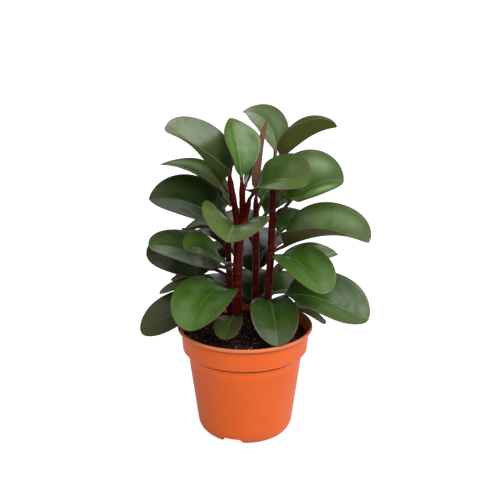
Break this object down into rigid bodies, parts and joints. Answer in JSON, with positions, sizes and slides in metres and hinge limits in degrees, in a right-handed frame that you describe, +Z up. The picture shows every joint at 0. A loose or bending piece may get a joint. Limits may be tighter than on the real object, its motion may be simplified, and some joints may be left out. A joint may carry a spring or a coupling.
{
  "type": "potted red margin peperomia",
  "caption": "Bushy upright houseplant with broad glossy green leaves on dark red stems, growing in a plain orange nursery pot full of soil.",
  "frame": {"origin": "centre of the pot's underside, on the surface that the pot stands on", "axes": "+Z up along the pot's axis, -Y towards the plant's front, +X to the right seen from the front"},
  "size_m": [0.2028, 0.1743, 0.2871],
  "materials": {
    "orange_plastic": "thermoformed nursery pot plastic, satin",
    "dark_soil": "moist dark potting soil with pale specks, rough",
    "red_stem": "smooth fleshy stem, dark crimson, semi-gloss",
    "green_leaf": "thick waxy blade, deep green above and olive below, with a thin dark red margin, semi-gloss"
  },
  "bodies": {
    "root": {"pot": "orange_plastic", "soil": "dark_soil", "front_stem": "red_stem", "right_stem": "red_stem", "back_stem": "red_stem", "side_stem": "red_stem", "front_leaf_01": "green_leaf", "front_leaf_02": "green_leaf", "front_leaf_03": "green_leaf", "front_leaf_04": "green_leaf", "front_leaf_05": "green_leaf", "front_leaf_06": "green_leaf", "front_leaf_07": "green_leaf", "front_leaf_08": "green_leaf", "front_leaf_09": "green_leaf", "front_leaf_10": "green_leaf", "front_shoot_01": "green_leaf", "front_shoot_02": "green_leaf", "right_leaf_01": "green_leaf", "right_leaf_02": "green_leaf", "right_leaf_03": "green_leaf", "right_leaf_04": "green_leaf", "right_leaf_05": "green_leaf", "right_leaf_06": "green_leaf", "right_leaf_07": "green_leaf", "right_leaf_08": "green_leaf", "right_leaf_09": "green_leaf", "right_leaf_10": "green_leaf", "right_shoot_01": "green_leaf", "right_shoot_02": "green_leaf", "back_leaf_01": "green_leaf", "back_leaf_02": "green_leaf", "back_leaf_03": "green_leaf", "back_leaf_04": "green_leaf", "back_leaf_05": "green_leaf", "back_leaf_06": "green_leaf", "back_leaf_07": "green_leaf", "back_leaf_08": "green_leaf", "back_leaf_09": "green_leaf", "side_leaf_01": "green_leaf", "side_leaf_02": "green_leaf", "side_leaf_03": "green_leaf", "side_leaf_04": "green_leaf", "side_leaf_05": "green_leaf", "side_leaf_06": "green_leaf", "side_leaf_07": "green_leaf", "side_leaf_08": "green_leaf", "side_leaf_09": "green_leaf"}
  },
  "joints": []
}
